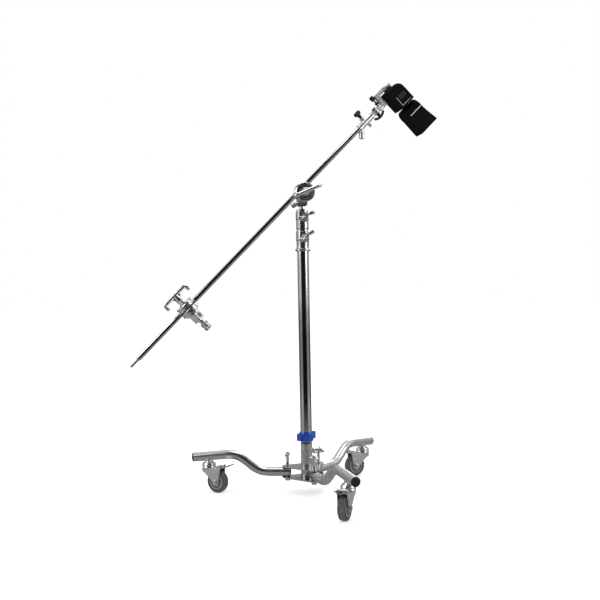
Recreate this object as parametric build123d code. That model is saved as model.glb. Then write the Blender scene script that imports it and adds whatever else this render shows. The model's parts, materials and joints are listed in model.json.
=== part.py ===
from build123d import *
import math
import os

# Rolling grip stand on three braked casters: a low hub with three S-bent folding legs, a three-section
# column, a grip head that holds a boom rod, a second grip head clamped on the rod, and a swivel
# bracket with a shoe-mounted flash unit at the rod's upper end.
# Millimetres. Z is up. The origin is the floor point on the column's axis.

os.makedirs("parts", exist_ok=True)

# ---- clearances ----
RUN = 0.06          # radial clearance of a shaft that turns or slides in its hole
PLAY = 0.35         # gap between faces of two pieces that move on each other
HOLE_PLAY = 0.6     # radial clearance of a bolt that only passes through a piece

# ---- casters ----
WHEEL_D = 75.0
WHEEL_W = 25.0
HUB_D = WHEEL_D * 2 / 3
AXLE_D = 8.0
TRAIL = 35.0
FORK_T = 3.0
FORK_RISE = 3.5     # from the top of the tyre to the underside of the fork's crown
CROWN_T = 9.0
RACE_D = 47.0
RACE_T = 11.0
KING_D = 10.0
CASTER_REACH = 330.0
CASTER_HEAD = {"left": -30.0, "rear": 208.0, "front": -112.0}

# ---- legs ----
LEG_AZ = {"left": 172.0, "rear": 52.0, "front": -69.0}
LEG_D = 30.0
LEG_WALL = 2.0
LEG_LOW_Z = 69.0
LEG_KNEE_Z = 127.0
LEG_END_Z = 114.0
LEG_INNER_R = 54.0
LEG_BEND_R = 158.0
LEG_KNEE_R = 234.0
LEG_END_R = 380.0
LEG_BEND = 82.0
CAP_T = 6.0
CAP_PLUG = 14.0

# ---- hub ----
PIVOT_R = 64.0
PIVOT_D = 10.0
HUB_CORNER = 18.0
HUB_T = 4.0
SOCKET_D = 38.0
SOCKET_FOOT = 5.0   # how far the socket stands below the lower plate
SOCKET_TOP_Z = 171.5
SPIGOT_D = 32.0
LOCK_RISE = 40.0

# ---- column ----
COLUMN_D = 38.0
COLUMN_WALL = 2.0
MIDDLE_D = 30.0
TOP_D = 25.0
RISER_WALL = 1.6
STUD_D = 16.0
COLLAR_A_Z = 795.0
COLLAR_H = 73.0
COLLAR_B_H = 62.5
COLLAR_D = 41.0
COLLAR_LIP_D = 50.0
COLLAR_LIP_H = 9.0
COLLAR_GRIP = 30.0  # how deep a tube sits in its collar
RING_D = 48.0
RING_H = 30.0
RING_WING = 40.0
SCREW_AZ = -70.0

# ---- grip heads and boom ----
HEAD_RISE = 54.15   # from the top collar to the head's axis
HEAD_AZ = -76.0     # where the head's axis points, towards its T-handle
BOOM_TILT = 45.2
DISC_D = 63.5
DISC_T = 16.0
JAW_GAP = 4.0
ROD_D = 16.0
ROD_BOLT_GAP = 1.2  # metal left between the rod's groove and the head's bolt
HEAD_BOLT_D = 10.0
SMALL_ROD_D = 9.6
RECEIVER_W = 30.0
RECEIVER_BACK = 16.0
ROD_LOW = -753.0
ROD_HIGH = 330.0
ROD_WALL = 2.4
ROD_PIN_D = 9.5
ROD_PIN_L = 32.0
T_BAR = 90.0
T_HOOK = 15.0
CLAMP_S = -533.0
CLAMP_TURN = 38.0   # how far the second head's socket block is turned about its axis

# ---- bracket and flash ----
BRACKET_S = 286.0
BRACKET_L = 64.0
BRACKET_D = 23.0
PIVOT_S = 370.0
POST_D = 17.0
POST_END_S = 400.0
FLASH_S = 455.0      # foot and shoe
BODY_S = 460.0       # middle of the flash body, its turret and its head
FLASH_BASE_T = 20.0
FLASH_W = 66.0
FLASH_DEPTH = 60.0
FLASH_BACK_R = 26.0
FLASH_H = 77.0
NECK_T = 3.0
HEAD_W = 68.0
HEAD_FRONT_W = 78.0
HEAD_DEPTH = 54.0
HEAD_L = 102.0
HEAD_LEAN = 4.0      # how far the head's front sits to the rod's outer end
LENS_T = 4.0
SHOE_R = 17.0
SHOE_T = 13.0
FOOT_W = 18.0
FOOT_T = 2.0
FOOT_NECK = 12.0
SLOT_LIP = 2.2

# ---- what follows from them ----
WHEEL_Z = WHEEL_D / 2
CROWN_Z = WHEEL_D + FORK_RISE
RACE_Z = CROWN_Z + CROWN_T + PLAY
HUB_GAP = LEG_D + 2 * PLAY
HUB_LOW_Z = LEG_LOW_Z - HUB_GAP / 2 - HUB_T
HUB_TOP_Z = LEG_LOW_Z + HUB_GAP / 2
COLUMN_Z = SOCKET_TOP_Z + PLAY
COLLAR_A_TOP = COLLAR_A_Z + COLLAR_H
COLLAR_B_Z = COLLAR_A_TOP + PLAY
COLLAR_B_TOP = COLLAR_B_Z + COLLAR_B_H
HEAD_Z = COLLAR_B_TOP + HEAD_RISE
ROD_RAISE = (ROD_D + HEAD_BOLT_D) / 2 + ROD_BOLT_GAP   # rod's centre line above the head's axis
JAW_Z = RECEIVER_W / 2 - 2 + PLAY          # back face of the inner disc, from the column's axis
ROD_OUT = JAW_Z + DISC_T + JAW_GAP / 2     # rod's centre plane
DISC_OUT = ROD_OUT + JAW_GAP / 2 + DISC_T  # front face of the outer disc

# ---- screws, brackets and levers ----
SOCKET_SCREW_AZ = 14.0
SOCKET_SCREW_Z = 140.0
SOCKET_SCREW_D = 7.0
FORK_IN = WHEEL_W / 2 + 1.9
PEDAL_X = 50.0
FORK_TAIL = -17.0
AXLE_EYE = 12.0
PEDAL_Z = CROWN_Z + 9.5
PEDAL_PIN_D = 5.0
PEDAL_W = 2 * FORK_IN - 2 * PLAY
SCREW_SHARE = 0.66
LUG_REACH = 25.0
COLLAR_SCREW_D = 8.0
HEAD_BOLT_IN = 9.5
STUD_SCREW_D = 7.0
STUD_SCREW_Z = HEAD_Z - 30
STUD_SCREW_AZ = 196.0
STUD_SCREW_TILT = -24.0
CLAMP_JAW = JAW_GAP / 2
CLAMP_BACK = -(CLAMP_JAW + DISC_T)
CLAMP_BLOCK = 30.0
CLAMP_PLATE = 6.0
CLAMP_SCREW_D = 10.0
CLAMP_BOLT_IN = 10.0
BRACKET_KNOB_S = 317.0
BRACKET_KNOB_D = 8.0
SHOE_KNOB_S = 391.0
SHOE_KNOB_D = 6.0
STEM_D = 9.5
TILT_D = 8.0
TILT_TOP = 9.0      # ear's outer face above the rod's centre line
TILT_MID = 0.0
BARREL_D = 18.0
BARREL_L = 37.0
BLOCK_S = POST_END_S + PLAY
BLOCK_L = 14.5
POST_T = -4.0
STEM_END_S = PIVOT_S + 15.5
LOCK_RING_T = 6.0
NECK_D = 28.0
NOTCH_IN = 10.0     # pocket behind the hinge that clears the turret when the head tilts
DRUM_W = 40.0
BODY_END_T = FLASH_BASE_T - FLASH_H
HEAD_T = BODY_END_T - NECK_T
HINGE_T = HEAD_T - HEAD_DEPTH / 2
HOLLOW = 32.0


def save(node, shape):
    shape.label = node
    export_step(shape, f"parts/{node}.step")


def rod(diameter, low, high):
    """Plain cylinder on Z from low to high."""
    return Pos(0, 0, (low + high) / 2) * Cylinder(diameter / 2, high - low)


def pipe(outer, inner, low, high):
    return rod(outer, low, high) - rod(inner, low - 1, high + 1)


def turned(profile):
    """Solid of revolution about Z from (radius, height) points."""
    wire = Wire.make_polygon([Vector(r, 0, z) for r, z in profile], close=True)
    return revolve(Face(wire), Axis.Z, 360)


def block(x, y, z, centre=(0, 0, 0)):
    return Pos(*centre) * Box(x, y, z)


def spun(angle, shape):
    return Rot(0, 0, angle) * shape


def outward(azimuth, reach, height, tilt=0.0):
    """Frame at a point around the column: Z points outwards, Y points up."""
    a = math.radians(azimuth)
    t = math.radians(tilt)
    out = Vector(math.cos(a) * math.cos(t), math.sin(a) * math.cos(t), math.sin(t))
    side = Vector(-math.sin(a), math.cos(a), 0)
    return Plane((reach * math.cos(a), reach * math.sin(a), height), x_dir=side, z_dir=out).location


def boom_frame():
    """X runs up along the rod, Y across it to the upper side, Z out along the head's axis."""
    a = math.radians(HEAD_AZ)
    t = math.radians(BOOM_TILT)
    out = Vector(math.cos(a), math.sin(a), 0)
    flat = Vector(-math.sin(a), math.cos(a), 0)
    along = flat * math.cos(t) + Vector(0, 0, 1) * math.sin(t)
    return Plane((0, 0, HEAD_Z), x_dir=along, z_dir=out)


BOOM = boom_frame().location


def rod_frame(s, towards):
    """Frame on the rod's centre line at s: Z points to "up", "down", "front" or "back" of the rod."""
    turn = {"up": Rot(-90, 0, 0), "down": Rot(90, 0, 0), "front": Rot(0, 0, 0), "back": Rot(180, 0, 0)}
    return BOOM * Pos(s, ROD_RAISE, ROD_OUT) * turn[towards]


# ---------------------------------------------------------------- handles and screws

def tee_screw(shank, length, bar, thick, boss=6.0):
    """Shank on Z from 0 to length, with a turned bar across its end."""
    half = bar / 2
    arm = turned([(0, -half), (thick * 0.42, -half + 1.2), (thick * 0.5, -half + 4),
                  (thick * 0.5, -half + 9), (thick * 0.36, -boss - 3), (thick * 0.36, boss + 3),
                  (thick * 0.5, half - 9), (thick * 0.5, half - 4), (thick * 0.42, half - 1.2), (0, half)])
    body = turned([(0, 0), (shank / 2, 0), (shank / 2, length - 14), (boss, length - 11),
                   (boss, length - 2), (boss - 2, length + thick * 0.5), (0, length + thick * 0.5)])
    return body + Pos(0, 0, length) * Rot(0, 90, 0) * arm


def hooked_tee(bolt, barrel_z, bar_z):
    """Grip head T-handle: bolt from Z 0, a turned barrel, and a bar whose ends curl back."""
    half = T_BAR / 2
    bar_r = 6.0
    path = FilletPolyline((-half, 0, bar_z - T_HOOK), (-half, 0, bar_z), (half, 0, bar_z),
                          (half, 0, bar_z - T_HOOK), radius=9)
    bar = sweep(Plane(path @ 0, z_dir=path % 0) * Circle(bar_r), path)
    tips = [Pos(x, 0, bar_z - T_HOOK) * Sphere(bar_r) for x in (-half, half)]
    barrel = turned([(0, 0), (bolt / 2, 0), (bolt / 2, barrel_z), (13, barrel_z), (13, barrel_z + 4),
                     (10.5, barrel_z + 6), (10.5, barrel_z + 12), (12, barrel_z + 14),
                     (12, barrel_z + 22), (7, bar_z - 2), (6, bar_z + 3), (0, bar_z + 3)])
    web = extrude(Plane.XZ * Polygon((-19, bar_z), (19, bar_z), (10, barrel_z + 20), (-10, barrel_z + 20),
                                     align=None), 3, both=True)
    return barrel + web + bar + tips[0] + tips[1]


def knurled_knob(shank, length, knob, knob_l):
    """Shank on Z from 0 to length, then a round knob with two grip bands."""
    groove = knob / 2 - 1.4
    full = knob / 2
    return turned([(0, 0), (shank / 2, 0), (shank / 2, length - 5), (shank * 0.85, length - 5),
                   (shank * 0.85, length), (groove, length), (full, length + 1.4),
                   (full, length + knob_l * 0.42), (groove, length + knob_l * 0.47),
                   (groove, length + knob_l * 0.53), (full, length + knob_l * 0.58),
                   (full, length + knob_l - 2), (full - 2, length + knob_l), (0, length + knob_l)])


# ---------------------------------------------------------------- hub

def hub_plate(low):
    corners = [(PIVOT_R * math.cos(math.radians(a)), PIVOT_R * math.sin(math.radians(a)))
               for a in LEG_AZ.values()]
    outline = offset(Polygon(*corners, align=None), HUB_CORNER, kind=Kind.ARC)
    plate = Pos(0, 0, low) * extrude(outline, HUB_T, dir=(0, 0, 1))
    plate -= rod(SOCKET_D, low - 1, low + HUB_T + 1)
    for x, y in corners:
        plate -= Pos(x, y, 0) * rod(PIVOT_D + 2 * RUN, low - 1, low + HUB_T + 1)
    return plate


def column_socket():
    low = HUB_LOW_Z - SOCKET_FOOT
    r = SOCKET_D / 2
    bore = SPIGOT_D / 2 + RUN
    neck = r - 1.4
    body = turned([(bore, low), (r, low), (r, SOCKET_TOP_Z - 8), (neck, SOCKET_TOP_Z - 7),
                   (neck, SOCKET_TOP_Z - 3.5), (r + 1, SOCKET_TOP_Z - 3), (r + 1, SOCKET_TOP_Z),
                   (bore, SOCKET_TOP_Z)])
    boss = outward(SOCKET_SCREW_AZ, 0, SOCKET_SCREW_Z) * rod(15, bore + 1, r + 5)
    hole = outward(SOCKET_SCREW_AZ, 0, SOCKET_SCREW_Z) * rod(SOCKET_SCREW_D + 2 * RUN, bore - 1, r + 8)
    return body + boss - hole - rod(2 * bore, low - 1, SOCKET_TOP_Z + 1)


def socket_screw():
    tip = SPIGOT_D / 2 + PLAY
    screw = tee_screw(SOCKET_SCREW_D, 34, 44, 10)
    return outward(SOCKET_SCREW_AZ, tip, SOCKET_SCREW_Z) * Rot(0, 0, 10) * screw


def leg_lock(azimuth, facing):
    """Vertical pivot and clamp bolt of a leg: T-bar above the hub, nut below it."""
    a = math.radians(azimuth)
    at = Pos(PIVOT_R * math.cos(a), PIVOT_R * math.sin(a), 0)
    bar_z = HUB_TOP_Z + HUB_T + LOCK_RISE
    low = HUB_LOW_Z - 9
    shank = rod(PIVOT_D, low, HUB_TOP_Z + HUB_T + 2)
    washer = rod(20, HUB_TOP_Z + HUB_T + PLAY, HUB_TOP_Z + HUB_T + 3)
    neck = turned([(0, HUB_TOP_Z + HUB_T + 3), (7.5, HUB_TOP_Z + HUB_T + 3),
                   (5.2, HUB_TOP_Z + HUB_T + 14), (5.2, bar_z - 12), (6.5, bar_z), (5.5, bar_z + 5),
                   (0, bar_z + 6)])
    arm = turned([(0, -21), (4.4, -20), (5.4, -16), (5, -11), (3.8, -6), (3.8, 6), (5, 11), (5.4, 16),
                  (4.4, 20), (0, 21)])
    bar = Pos(0, 0, bar_z - 3) * Rot(0, 0, facing) * Rot(0, 90, 0) * arm
    nut = Pos(0, 0, low) * extrude(RegularPolygon(9, 6), 8 - PLAY)
    return at * (shank + washer + neck + bar + nut)


# ---------------------------------------------------------------- legs

def leg_path():
    return FilletPolyline((LEG_INNER_R, 0, LEG_LOW_Z), (LEG_BEND_R, 0, LEG_LOW_Z),
                          (LEG_KNEE_R, 0, LEG_KNEE_Z), (LEG_END_R, 0, LEG_END_Z), radius=LEG_BEND)


def leg_sweep(diameter):
    path = leg_path()
    return sweep(Plane(path @ 0, z_dir=path % 0) * Circle(diameter / 2), path)


def leg_tube():
    tube = leg_sweep(LEG_D) - leg_sweep(LEG_D - 2 * LEG_WALL)
    hole = Pos(PIVOT_R, 0, 0) * rod(PIVOT_D + 2 * RUN, HUB_LOW_Z, HUB_TOP_Z + HUB_T)
    return tube - hole


def leg_cap():
    path = leg_path()
    at = Plane(path @ 1, z_dir=path % 1).location
    r = LEG_D / 2
    inner = r - LEG_WALL
    return at * turned([(0, -CAP_PLUG), (inner - 1, -CAP_PLUG), (inner, -CAP_PLUG + 2), (inner, 0), (r, 0),
                        (r, CAP_T - 3), (r - 1.2, CAP_T - 1), (r - 4, CAP_T), (0, CAP_T)])


def leg_underside():
    """Height of the leg tube's centre line above the caster."""
    share = (CASTER_REACH - LEG_KNEE_R) / (LEG_END_R - LEG_KNEE_R)
    return LEG_KNEE_Z + share * (LEG_END_Z - LEG_KNEE_Z)


def caster_stem():
    """Boss under the leg with the upper race and the king pin."""
    race = RACE_D / 2
    top = leg_underside()
    body = turned([(0, CROWN_Z - 4), (KING_D * 0.8, CROWN_Z - 4), (KING_D * 0.8, CROWN_Z - PLAY),
                   (KING_D / 2, CROWN_Z - PLAY), (KING_D / 2, RACE_Z), (race - 2, RACE_Z),
                   (race, RACE_Z + 1.5), (race, RACE_Z + 3.5), (race - 4, RACE_Z + RACE_T - 1),
                   (14, RACE_Z + RACE_T), (12.5, RACE_Z + RACE_T + 3), (12.5, top), (0, top)])
    return Pos(CASTER_REACH, 0, 0) * body - leg_sweep(LEG_D)


# ---------------------------------------------------------------- casters, X along the trail

def caster_place(name):
    a = math.radians(LEG_AZ[name])
    return Pos(CASTER_REACH * math.cos(a), CASTER_REACH * math.sin(a), 0) * Rot(0, 0, CASTER_HEAD[name])


def caster_fork():
    race = RACE_D / 2
    outer = FORK_IN + FORK_T
    strap = Polygon((FORK_TAIL, CROWN_Z + FORK_T), (PEDAL_X + 3, CROWN_Z + FORK_T), (PEDAL_X + 3, CROWN_Z - 12.5),
                    (TRAIL + AXLE_EYE - 1, WHEEL_Z - 4), (TRAIL - AXLE_EYE, WHEEL_Z), (-3, CROWN_Z - 16.5),
                    (FORK_TAIL, CROWN_Z - 8.5), align=None)
    side = fillet(strap.vertices(), 5) + Pos(TRAIL, WHEEL_Z) * Circle(AXLE_EYE)
    side += Pos(PEDAL_X, PEDAL_Z) * Circle(6)
    side += Pos(PEDAL_X, (PEDAL_Z + CROWN_Z) / 2) * Rectangle(12, PEDAL_Z - CROWN_Z + 1)
    cheek = extrude(Plane.XZ * side, FORK_T / 2, both=True)
    roof = PEDAL_X - 4
    body = block(roof - FORK_TAIL - 2, 2 * outer, FORK_T, ((roof + FORK_TAIL + 2) / 2, 0, CROWN_Z + FORK_T / 2))
    body += turned([(0, CROWN_Z), (race - 3, CROWN_Z), (race, CROWN_Z + 3), (race, CROWN_Z + 5),
                    (race - 2, CROWN_Z + CROWN_T), (0, CROWN_Z + CROWN_T)])
    for sign in (-1, 1):
        body += Pos(0, sign * (FORK_IN + FORK_T / 2), 0) * cheek
    body -= rod(KING_D + 2 * RUN, CROWN_Z - 1, CROWN_Z + CROWN_T + 1)
    body -= Pos(TRAIL, 0, WHEEL_Z) * Rot(90, 0, 0) * rod(AXLE_D, -outer - 1, outer + 1)
    body -= Pos(PEDAL_X, 0, PEDAL_Z) * Rot(90, 0, 0) * rod(PEDAL_PIN_D + 2 * RUN, -outer - 1, outer + 1)
    return body


def at_axle(shape):
    return Pos(TRAIL, 0, WHEEL_Z) * Rot(90, 0, 0) * shape


def wheel_tyre():
    r = WHEEL_D / 2
    w = WHEEL_W / 2
    seat = HUB_D / 2
    return at_axle(turned([(seat, -w + 1), (seat + 2, -w), (r - 6, -w), (r - 2.2, -w + 2.2), (r - 0.5, -w + 6),
                           (r, -2), (r, 2), (r - 0.5, w - 6), (r - 2.2, w - 2.2), (r - 6, w),
                           (seat + 2, w), (seat, w - 1)]))


def wheel_hub():
    seat = HUB_D / 2
    w = WHEEL_W / 2
    bore = AXLE_D / 2 + RUN
    boss = FORK_IN - PLAY
    half = [(bore, -boss), (8.5, -boss), (10, -boss + 3), (10, -5.5), (seat - 4, -4.5),
            (seat - 3, -w + 1), (seat, -w + 1)]
    other = [(r, -y) for r, y in reversed(half)]
    return at_axle(turned(half + other))


def wheel_axle():
    outer = FORK_IN + FORK_T
    bolt = rod(AXLE_D, -outer, outer)
    head = Pos(0, 0, outer) * extrude(RegularPolygon(6.8, 6), 4)
    nut = Pos(0, 0, -outer - 5) * extrude(RegularPolygon(6.8, 6), 5)
    return at_axle(bolt + head + nut)


def brake_pedal():
    """Pressed lever over the fork's crown, hinged on its pin, with a turned-up toe."""
    t = 3.0
    z = PEDAL_Z
    line = [(30, z - 1.5), (58, z - 1.5), (74, z + 1.5), (86, z + 8), (93, z + 9.5)]
    under = [(x, y - t) for x, y in reversed(line)]
    plate = extrude(Plane.XZ * Polygon(*(line + under), align=None), PEDAL_W / 2 - 3, both=True)
    barrel = Pos(PEDAL_X, 0, z) * Rot(90, 0, 0) * rod(9, -PEDAL_W / 2, PEDAL_W / 2)
    pin = Pos(PEDAL_X, 0, z) * Rot(90, 0, 0) * rod(PEDAL_PIN_D, -FORK_IN - FORK_T, FORK_IN + FORK_T)
    return plate + barrel + pin


# ---------------------------------------------------------------- column

def column_tube():
    bore = COLUMN_D - 2 * COLUMN_WALL
    tail_low = HUB_LOW_Z + HUB_T
    r = COLUMN_D / 2
    tail = SPIGOT_D / 2
    inner = tail - 3
    top = COLLAR_A_Z + COLLAR_GRIP
    return turned([(inner, tail_low), (tail - 1, tail_low), (tail, tail_low + 2), (tail, COLUMN_Z),
                   (r, COLUMN_Z), (r, top), (bore / 2, top), (bore / 2, COLUMN_Z + 10),
                   (inner, COLUMN_Z + 6)])


def quick_release_ring():
    low = COLUMN_Z + PLAY
    r = RING_D / 2
    bore = COLUMN_D / 2 + RUN
    band = turned([(bore, low), (r - 1.5, low), (r, low + 2), (r, low + RING_H - 6),
                   (r - 2.5, low + RING_H - 2), (r - 3, low + RING_H), (bore, low + RING_H)])
    wing = Pos((RING_WING + bore) / 2, 0, low + RING_H / 2) * Box(RING_WING - bore, 9, RING_H - 6)
    wing = fillet(wing.edges().filter_by(Axis.Y), 3)
    both = spun(45, wing) + spun(225, wing)
    return band + (both - rod(2 * bore + 2, low - 5, low + RING_H + 5))


def collar(low, height, seat_d, bore_d, lip):
    """Cast collar: seat for the tube below, running bore for the tube above, lug for its screw."""
    r = COLLAR_D / 2
    seat = seat_d / 2
    bore = bore_d / 2 + RUN
    top = low + height
    edge = [(seat, low), (COLLAR_LIP_D / 2 - 2, low), (COLLAR_LIP_D / 2, low + 2),
            (COLLAR_LIP_D / 2, low + COLLAR_LIP_H - 3), (r + 1, low + COLLAR_LIP_H)] if lip else \
           [(seat, low), (r + 0.5, low), (r + 0.5, low + 3)]
    body = turned(edge + [(r, low + 14), (r, low + height * 0.45), (r + 1.2, low + height * 0.5),
                          (r + 1.2, top - 10), (r, top - 8), (r - 1, top - 2), (r - 3, top),
                          (bore, top), (bore, low + COLLAR_GRIP), (seat, low + COLLAR_GRIP)])
    lug_z = low + height * SCREW_SHARE
    lug = outward(SCREW_AZ, 0, lug_z - 5) * block(16, 30, LUG_REACH - bore, (0, 0, (LUG_REACH + bore) / 2))
    lug = fillet(lug.edges().filter_by(outward(SCREW_AZ, 0, 0).z_axis), 4)
    hole = outward(SCREW_AZ, 0, lug_z) * rod(COLLAR_SCREW_D + 2 * RUN, 0, LUG_REACH + 5)
    return body + (lug - rod(2 * r - 2, low, top + 1)) - hole


def collar_screw(low, height, bore_d, turn):
    tip = bore_d / 2 + PLAY + RUN
    z = low + height * SCREW_SHARE
    return outward(SCREW_AZ, tip, z) * Rot(0, 0, turn) * tee_screw(COLLAR_SCREW_D, 42 - tip, 60, 12, 6.5)


def middle_tube():
    foot = COLUMN_Z + 30
    return pipe(MIDDLE_D, MIDDLE_D - 2 * RISER_WALL, foot, COLLAR_B_Z + COLLAR_GRIP)


def top_tube():
    """Smallest riser with the stud that carries the grip head."""
    foot = COLUMN_Z + 45
    r = TOP_D / 2
    bore = r - RISER_WALL
    top = COLLAR_B_TOP + 3
    stud = STUD_D / 2
    stud_top = HEAD_Z - 2
    return turned([(bore, foot), (r, foot), (r, top - 2), (r - 2, top), (stud, top), (stud, top + 14),
                   (stud - 1.5, top + 15), (stud - 1.5, top + 21), (stud, top + 22), (stud, stud_top - 2),
                   (stud - 2, stud_top), (0, stud_top), (0, top - 22), (bore, top - 22)])


# ---------------------------------------------------------------- grip heads

def grip_disc(low, jaw):
    """Serrated clamping disc from low to low + DISC_T; jaw is +1 when the rod lies above it."""
    r = DISC_D / 2
    high = low + DISC_T
    face, back = (high, low) if jaw > 0 else (low, high)
    d = jaw
    disc = turned([(HEAD_BOLT_D / 2 + HOLE_PLAY, back), (r - 10, back), (r - 9, back + 2.5 * d),
                   (r - 4, back + 2.5 * d), (r - 3, back), (r - 1.5, back), (r, back + 1.5 * d),
                   (r, back + 5 * d), (r - 2, back + 6.5 * d), (r - 2, back + 8.5 * d),
                   (r, back + 10 * d), (r, face - 1.5 * d), (r - 1.5, face),
                   (HEAD_BOLT_D / 2 + HOLE_PLAY, face)])
    rod_at = face + d * JAW_GAP / 2
    big = Pos(0, ROD_RAISE, rod_at) * Rot(0, 90, 0) * rod(ROD_D + 2 * RUN, -r - 1, r + 1)
    small = Pos(0, -ROD_RAISE, rod_at) * Rot(0, 90, 0) * rod(SMALL_ROD_D, -r - 1, r + 1)
    return disc - big - small


def head_receiver():
    """Block on the column's stud; the discs turn on its front face."""
    front = JAW_Z - PLAY
    low = COLLAR_B_TOP + 12
    turn = outward(HEAD_AZ, 0, 0)
    high = HEAD_Z + 17
    body = block(RECEIVER_W, high - low, front + RECEIVER_BACK, (0, (high + low) / 2, (front - RECEIVER_BACK) / 2))
    body = fillet(body.edges().filter_by(Axis.Z), 7)
    body = turn * body
    plate = outward(HEAD_AZ, 0, HEAD_Z) * rod(44, front - 5, front)
    back = outward(HEAD_AZ, 0, HEAD_Z) * rod(26, -RECEIVER_BACK - 5, -RECEIVER_BACK + 1)
    body = body + plate + back
    body -= rod(STUD_D + 2 * RUN, low - 1, HEAD_Z)
    body -= outward(HEAD_AZ, 0, HEAD_Z) * rod(HEAD_BOLT_D + 2 * HOLE_PLAY, HEAD_BOLT_IN, front + 5)
    return body - stud_screw_place() * rod(STUD_SCREW_D + 2 * RUN, 0, 30)


def stud_screw_place():
    return outward(STUD_SCREW_AZ, STUD_D / 2 + 1.6, STUD_SCREW_Z, STUD_SCREW_TILT)


def head_stud_screw():
    return stud_screw_place() * knurled_knob(STUD_SCREW_D, 15, 17, 13)


def head_t_handle():
    bolt_end = HEAD_BOLT_IN + PLAY
    start = BOOM * Pos(0, 0, bolt_end) * Rot(0, 0, -22)
    return start * hooked_tee(HEAD_BOLT_D, DISC_OUT + PLAY - bolt_end, DISC_OUT + PLAY + 36 - bolt_end)


def boom_rod():
    low, high = ROD_LOW, ROD_HIGH
    r = ROD_D / 2
    pin = ROD_PIN_D / 2
    tip = low - ROD_PIN_L
    body = turned([(0, tip), (pin - 1.5, tip), (pin, tip + 1.5), (pin, low - 1), (r - 2, low),
                   (r, low + 3), (r, high - 1.5), (r - 1.5, high), (r - ROD_WALL, high),
                   (r - ROD_WALL, low + 40), (0, low + 40)])
    return BOOM * Pos(0, ROD_RAISE, ROD_OUT) * Rot(0, 90, 0) * body


# The second head sits across the rod: its axis points to the rod's upper side, in the boom's plane.

def clamp_frame():
    """Z along the clamp's axis towards its T-handle, X along the rod, rod at Y +ROD_RAISE."""
    return rod_frame(CLAMP_S, "up") * Pos(0, -ROD_RAISE, 0)


def clamp_outer_disc():
    return clamp_frame() * grip_disc(CLAMP_JAW, -1)


def clamp_inner_disc():
    return clamp_frame() * grip_disc(-CLAMP_JAW - DISC_T, 1)


def clamp_receiver():
    """Turning socket block behind the inner disc, with a through bore for a stud."""
    top = CLAMP_BACK - PLAY
    low = top - CLAMP_PLATE - CLAMP_BLOCK
    mid = top - CLAMP_PLATE - CLAMP_BLOCK / 2
    body = block(CLAMP_BLOCK, CLAMP_BLOCK, CLAMP_BLOCK, (0, 0, mid))
    body = fillet(body.edges().filter_by(Axis.Z), 5)
    body += rod(50, top - CLAMP_PLATE, top)
    body += rod(18, low - 6, low)
    body -= rod(HEAD_BOLT_D + 2 * HOLE_PLAY, top - CLAMP_BOLT_IN, top + 1)
    body -= Pos(0, 0, mid) * Rot(90, 0, 0) * rod(STUD_D + 2 * RUN, -CLAMP_BLOCK, CLAMP_BLOCK)
    body -= rod(CLAMP_SCREW_D + 2 * RUN, low - 7, mid)
    return clamp_frame() * Rot(0, 0, CLAMP_TURN) * body


def clamp_t_handle():
    start = CLAMP_BACK - PLAY - CLAMP_BOLT_IN + PLAY
    outer = CLAMP_JAW + DISC_T + PLAY
    return clamp_frame() * Pos(0, 0, start) * hooked_tee(HEAD_BOLT_D, outer - start, outer + 38 - start)


def clamp_screw():
    top = CLAMP_BACK - PLAY - CLAMP_PLATE - CLAMP_BLOCK / 2 - STUD_D / 2 - 1
    low = CLAMP_BACK - PLAY - CLAMP_PLATE - CLAMP_BLOCK - 6
    screw = knurled_knob(CLAMP_SCREW_D, top - low + PLAY + 6, 25, 27)
    return clamp_frame() * Pos(0, 0, top) * Rot(180, 0, 0) * screw


# ---------------------------------------------------------------- bracket at the rod's upper end


def boom_point(s, t, z=0.0):
    """A place on the boom frame, measured from the rod's centre line."""
    return BOOM * Pos(s, ROD_RAISE + t, ROD_OUT + z)


def boom_axis(name):
    """X, Y or Z of the boom frame as an axis, for picking edges and faces."""
    frame = boom_frame()
    return Axis(frame.origin, {"x": frame.x_dir, "y": frame.y_dir, "z": frame.z_dir}[name])


def bracket_clamp():
    """Lower half of the swivel bracket: sleeve on the rod, upright socket and one pivot ear."""
    end = BRACKET_S + BRACKET_L
    sleeve = boom_point(0, 0) * Rot(0, 90, 0) * rod(BRACKET_D, BRACKET_S, end)
    boss = rod_frame(BRACKET_KNOB_S, "up") * rod(17, 4, 20)
    ear = rod_frame(PIVOT_S, "up") * rod(27, TILT_MID + PLAY / 2, TILT_TOP)
    arm = boom_point((end + PIVOT_S) / 2 - 4, (TILT_MID + PLAY / 2 + TILT_TOP) / 2) * \
        Box(PIVOT_S - end + 8, TILT_TOP - TILT_MID - PLAY / 2, 18)
    foot = boom_point(BRACKET_S + 4, -8)
    barrel = Pos(foot.position) * turned([(0, -BARREL_L + 6), (BARREL_D / 2 - 3, -BARREL_L + 6),
                                          (BARREL_D / 2, -BARREL_L + 9), (BARREL_D / 2, 0),
                                          (BARREL_D / 2 - 3, 6), (0, 6)])
    tab = rod_frame(BRACKET_KNOB_S + 6, "down") * block(7, 9, 16, (0, 0, 16))
    body = sleeve + boss + arm + ear + barrel + tab
    body -= boom_point(0, 0) * Rot(0, 90, 0) * rod(ROD_D + 2 * RUN, BRACKET_S - 30, ROD_HIGH + 1)
    body -= rod_frame(BRACKET_KNOB_S, "up") * rod(BRACKET_KNOB_D + 2 * RUN, 0, 24)
    body -= rod_frame(PIVOT_S, "up") * rod(TILT_D + 2 * HOLE_PLAY, -20, 20)
    return body


def knob_grip(low, wide, thick):
    """Moulded T grip, wide across X, standing on a collar at low."""
    half = wide / 2
    arm = turned([(0, -half), (thick * 0.32, -half + 1), (thick * 0.5, -half + 4), (thick * 0.5, half - 4),
                  (thick * 0.32, half - 1), (0, half)])
    neck = turned([(0, low), (6.5, low), (5.5, low + 6), (4.5, low + 10), (0, low + 10)])
    return neck + Pos(0, 0, low + 10 + thick * 0.3) * Rot(0, 90, 0) * arm


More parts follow.
